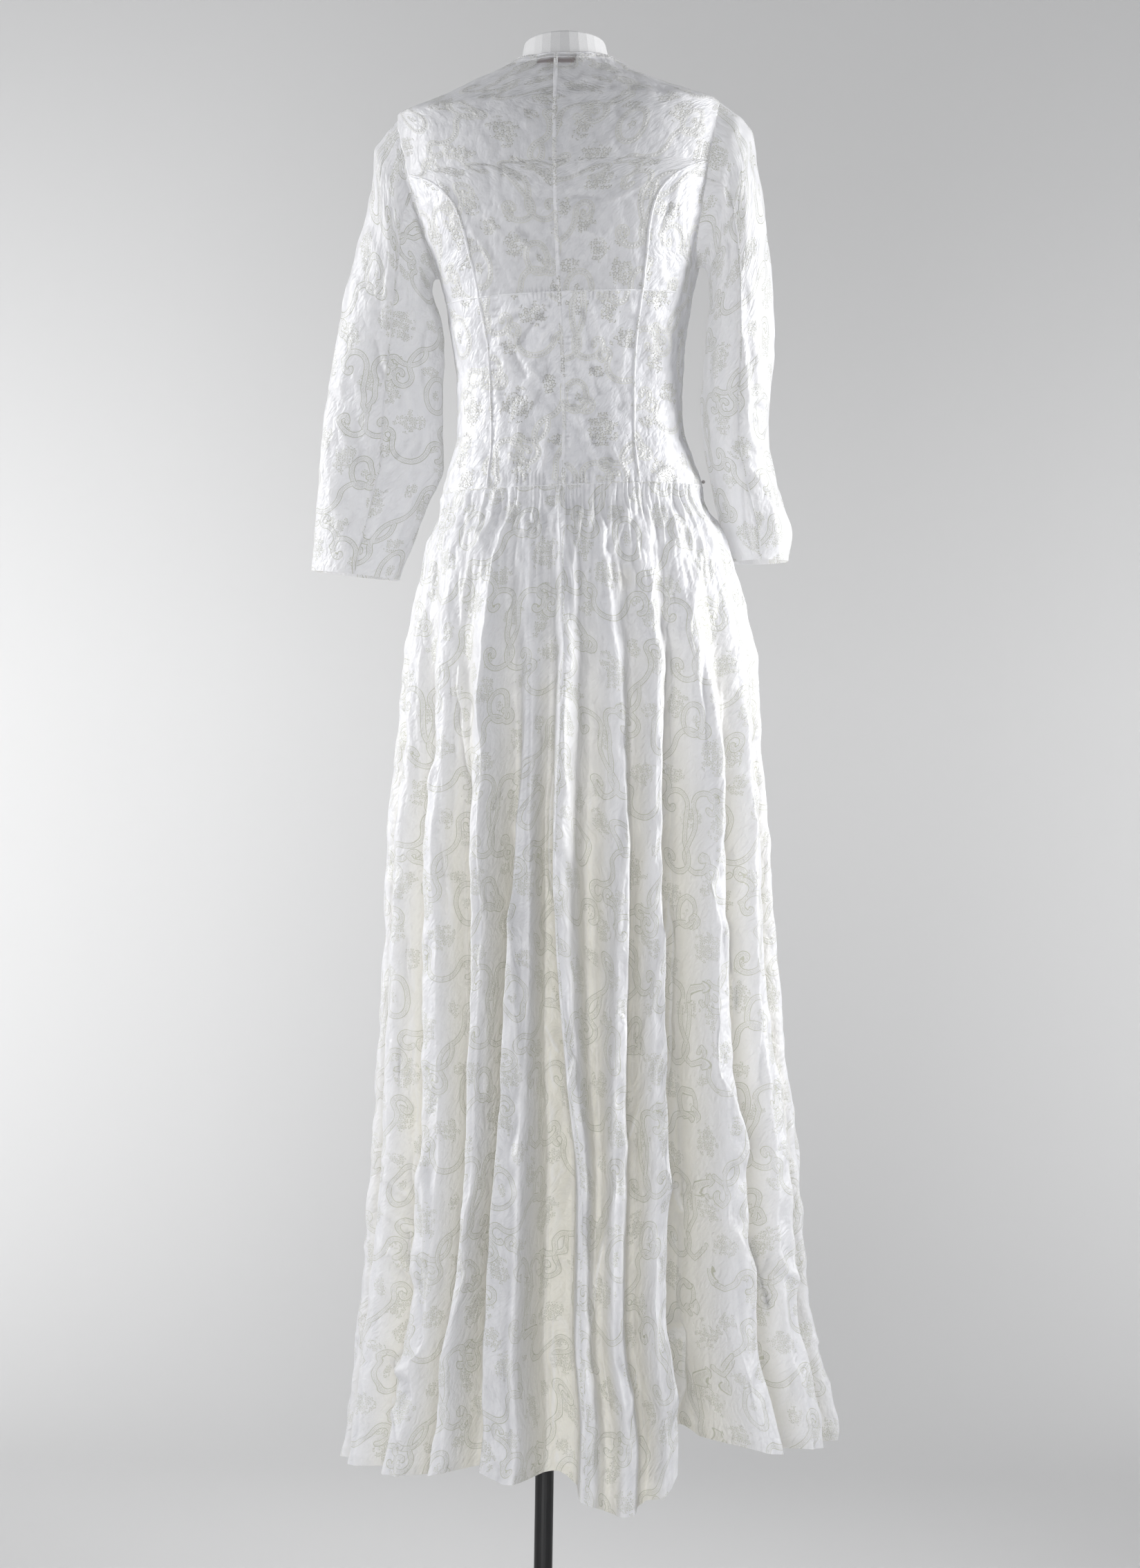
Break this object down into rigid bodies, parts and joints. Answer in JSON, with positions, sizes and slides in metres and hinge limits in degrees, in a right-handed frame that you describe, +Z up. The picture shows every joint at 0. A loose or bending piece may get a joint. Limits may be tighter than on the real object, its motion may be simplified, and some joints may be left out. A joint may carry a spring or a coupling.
{
  "type": "maxi dress on a dress form stand",
  "caption": "White long-sleeved maxi dress with a fitted seamed bodice and a full gathered skirt, worn by a limbless dress form on a pole with a round foot.",
  "frame": {"origin": "centre of the underside of the stand's round foot, on the pole's axis", "axes": "+Z up along the pole; the dress's back faces -Y and its front +Y; +X is the wearer's right"},
  "size_m": [0.6381, 0.5063, 1.9144],
  "materials": {
    "white_printed_voile": "fine semi-sheer cotton voile with a raised sage print",
    "taupe_label": "plain woven tape",
    "grey_button": "satin",
    "pale_form_cover": "smooth satin",
    "black_stand": "matte black powder coat"
  },
  "bodies": {
    "root": {"upper_centre_back_left": "white_printed_voile", "upper_centre_back_right": "white_printed_voile", "upper_side_back_left": "white_printed_voile", "upper_side_back_right": "white_printed_voile", "lower_centre_back_left": "white_printed_voile", "lower_centre_back_right": "white_printed_voile", "lower_side_back_left": "white_printed_voile", "lower_side_back_right": "white_printed_voile", "side_front_left": "white_printed_voile", "side_front_right": "white_printed_voile", "centre_front": "white_printed_voile", "sleeve_left": "white_printed_voile", "sleeve_right": "white_printed_voile", "skirt_back_left": "white_printed_voile", "skirt_back_right": "white_printed_voile", "skirt_front": "white_printed_voile", "neck_label": "taupe_label", "side_button": "grey_button", "form_torso": "pale_form_cover", "stand_pole": "black_stand", "stand_foot": "black_stand"}
  },
  "joints": []
}
